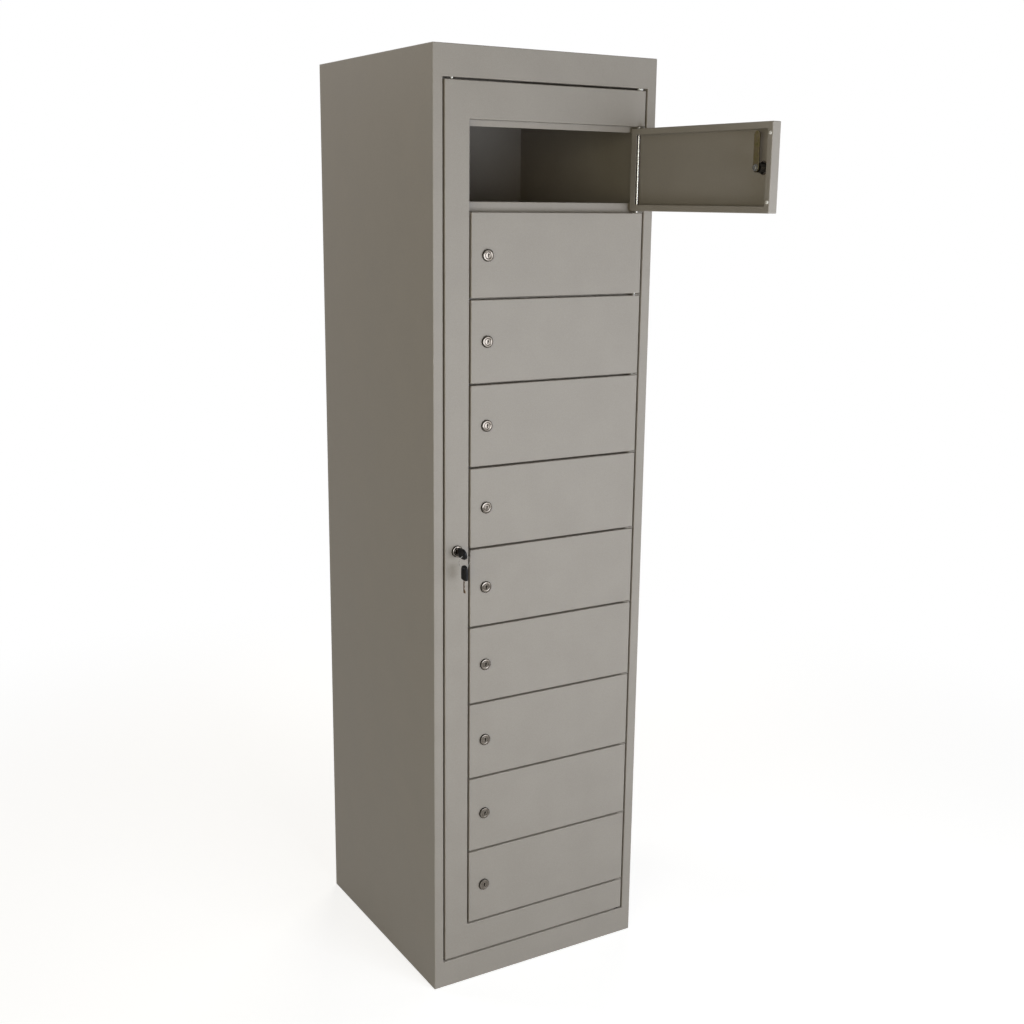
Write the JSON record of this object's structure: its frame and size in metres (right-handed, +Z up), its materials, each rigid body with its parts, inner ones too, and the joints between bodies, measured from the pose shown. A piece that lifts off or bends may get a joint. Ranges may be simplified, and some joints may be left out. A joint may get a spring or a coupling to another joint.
{
  "type": "laptop locker",
  "caption": "Tall grey sheet-steel laptop locker: small lockable doors stacked in a lockable master door frame, all on one hinge rod, shelves behind, the top door standing open.",
  "frame": {"origin": "under the middle of the base, on the floor", "axes": "+Z up, front faces -Y, doors hinge at +X"},
  "size_m": [0.5007, 0.8966, 1.9],
  "materials": {
    "cabinet_paint": "light warm grey powder coat, fine texture, satin",
    "door_paint": "light warm grey powder coat, fine texture, satin",
    "bright_zinc": "bright zinc-plated steel",
    "lock_chrome": "nickel-chrome plated zinc casting",
    "yellow_zinc": "yellow-passivated zinc-plated steel",
    "white_nylon": "white nylon",
    "black_nylon": "black nylon",
    "key_plastic": "black moulded plastic key bow on a plated blade"
  },
  "bodies": {
    "cabinet": {"left_side": "cabinet_paint", "right_side": "cabinet_paint", "hinge_strip": "cabinet_paint", "back_panel": "cabinet_paint", "top_panel": "cabinet_paint", "base_panel": "cabinet_paint", "shelf_1": "cabinet_paint", "shelf_2": "cabinet_paint", "shelf_3": "cabinet_paint", "shelf_4": "cabinet_paint", "shelf_5": "cabinet_paint", "shelf_6": "cabinet_paint", "shelf_7": "cabinet_paint", "shelf_8": "cabinet_paint", "shelf_9": "cabinet_paint", "shelf_10": "cabinet_paint", "top_stop_rail": "cabinet_paint", "hinge_rod": "bright_zinc", "upper_washer": "white_nylon", "lower_washer": "black_nylon"},
    "master_door": {"master_stile": "door_paint", "master_top_rail": "door_paint", "master_bottom_rail": "door_paint", "master_lock_barrel": "lock_chrome"},
    "door_1": {"door_1": "door_paint", "lock_barrel_1": "lock_chrome"},
    "lock_1": {"lock_cam_1": "yellow_zinc"},
    "door_2": {"door_2": "door_paint", "lock_barrel_2": "lock_chrome"},
    "lock_2": {"lock_cam_2": "yellow_zinc"},
    "door_3": {"door_3": "door_paint", "lock_barrel_3": "lock_chrome"},
    "lock_3": {"lock_cam_3": "yellow_zinc"},
    "door_4": {"door_4": "door_paint", "lock_barrel_4": "lock_chrome"},
    "lock_4": {"lock_cam_4": "yellow_zinc"},
    "door_5": {"door_5": "door_paint", "lock_barrel_5": "lock_chrome"},
    "lock_5": {"lock_cam_5": "yellow_zinc"},
    "door_6": {"door_6": "door_paint", "lock_barrel_6": "lock_chrome"},
    "lock_6": {"lock_cam_6": "yellow_zinc"},
    "door_7": {"door_7": "door_paint", "lock_barrel_7": "lock_chrome"},
    "lock_7": {"lock_cam_7": "yellow_zinc"},
    "door_8": {"door_8": "door_paint", "lock_barrel_8": "lock_chrome"},
    "lock_8": {"lock_cam_8": "yellow_zinc"},
    "door_9": {"door_9": "door_paint", "lock_barrel_9": "lock_chrome"},
    "lock_9": {"lock_cam_9": "yellow_zinc"},
    "door_10": {"door_10": "door_paint", "lock_barrel_10": "lock_chrome"},
    "lock_10": {"lock_cam_10": "yellow_zinc"},
    "master_lock": {"master_lock_cam": "yellow_zinc", "master_key": "key_plastic"},
    "spare_key": {"key_ring": "bright_zinc", "spare_key": "key_plastic"}
  },
  "joints": [
    {"name": "master_door_swing", "type": "hinge", "parent": "cabinet", "child": "master_door", "pos_m": [0.2162, -0.252, 0.95], "axis": [0, 0, -1], "range_deg": [-105, 0]},
    {"name": "door_1_swing", "type": "hinge", "parent": "cabinet", "child": "door_1", "pos_m": [0.2162, -0.252, 1.68575], "axis": [0, 0, 1], "range_deg": [-93.5, 16.5]},
    {"name": "lock_1_turn", "type": "hinge", "parent": "door_1", "child": "lock_1", "pos_m": [0.24552, -0.60036, 1.68575], "axis": [0.9981, 0.061, 0], "range_deg": [0, 90]},
    {"name": "door_2_swing", "type": "hinge", "parent": "master_door", "child": "door_2", "pos_m": [0.2162, -0.252, 1.52225], "axis": [0, 0, 1], "range_deg": [0, 110]},
    {"name": "lock_2_turn", "type": "hinge", "parent": "door_2", "child": "lock_2", "pos_m": [-0.1333, -0.26, 1.52225], "axis": [0, -1, 0], "range_deg": [0, 90]},
    {"name": "door_3_swing", "type": "hinge", "parent": "master_door", "child": "door_3", "pos_m": [0.2162, -0.252, 1.35875], "axis": [0, 0, 1], "range_deg": [0, 110]},
    {"name": "lock_3_turn", "type": "hinge", "parent": "door_3", "child": "lock_3", "pos_m": [-0.1333, -0.26, 1.35875], "axis": [0, -1, 0], "range_deg": [0, 90]},
    {"name": "door_4_swing", "type": "hinge", "parent": "master_door", "child": "door_4", "pos_m": [0.2162, -0.252, 1.19525], "axis": [0, 0, 1], "range_deg": [0, 110]},
    {"name": "lock_4_turn", "type": "hinge", "parent": "door_4", "child": "lock_4", "pos_m": [-0.1333, -0.26, 1.19525], "axis": [0, -1, 0], "range_deg": [0, 90]},
    {"name": "door_5_swing", "type": "hinge", "parent": "master_door", "child": "door_5", "pos_m": [0.2162, -0.252, 1.03175], "axis": [0, 0, 1], "range_deg": [0, 110]},
    {"name": "lock_5_turn", "type": "hinge", "parent": "door_5", "child": "lock_5", "pos_m": [-0.1333, -0.26, 1.03175], "axis": [0, -1, 0], "range_deg": [0, 90]},
    {"name": "door_6_swing", "type": "hinge", "parent": "master_door", "child": "door_6", "pos_m": [0.2162, -0.252, 0.86825], "axis": [0, 0, 1], "range_deg": [0, 110]},
    {"name": "lock_6_turn", "type": "hinge", "parent": "door_6", "child": "lock_6", "pos_m": [-0.1333, -0.26, 0.86825], "axis": [0, -1, 0], "range_deg": [0, 90]},
    {"name": "door_7_swing", "type": "hinge", "parent": "master_door", "child": "door_7", "pos_m": [0.2162, -0.252, 0.70475], "axis": [0, 0, 1], "range_deg": [0, 110]},
    {"name": "lock_7_turn", "type": "hinge", "parent": "door_7", "child": "lock_7", "pos_m": [-0.1333, -0.26, 0.70475], "axis": [0, -1, 0], "range_deg": [0, 90]},
    {"name": "door_8_swing", "type": "hinge", "parent": "master_door", "child": "door_8", "pos_m": [0.2162, -0.252, 0.54125], "axis": [0, 0, 1], "range_deg": [0, 110]},
    {"name": "lock_8_turn", "type": "hinge", "parent": "door_8", "child": "lock_8", "pos_m": [-0.1333, -0.26, 0.54125], "axis": [0, -1, 0], "range_deg": [0, 90]},
    {"name": "door_9_swing", "type": "hinge", "parent": "master_door", "child": "door_9", "pos_m": [0.2162, -0.252, 0.37775], "axis": [0, 0, 1], "range_deg": [0, 110]},
    {"name": "lock_9_turn", "type": "hinge", "parent": "door_9", "child": "lock_9", "pos_m": [-0.1333, -0.26, 0.37775], "axis": [0, -1, 0], "range_deg": [0, 90]},
    {"name": "door_10_swing", "type": "hinge", "parent": "master_door", "child": "door_10", "pos_m": [0.2162, -0.252, 0.21425], "axis": [0, 0, 1], "range_deg": [0, 110]},
    {"name": "lock_10_turn", "type": "hinge", "parent": "door_10", "child": "lock_10", "pos_m": [-0.1333, -0.26, 0.21425], "axis": [0, -1, 0], "range_deg": [0, 90]},
    {"name": "master_lock_turn", "type": "hinge", "parent": "master_door", "child": "master_lock", "pos_m": [-0.19875, -0.26, 0.95], "axis": [0, 1, 0], "range_deg": [0, 90]},
    {"name": "spare_key_swing", "type": "hinge", "parent": "master_lock", "child": "spare_key", "pos_m": [-0.19875, -0.292, 0.94849], "axis": [1, 0, 0], "range_deg": [-60, 15]}
  ]
}
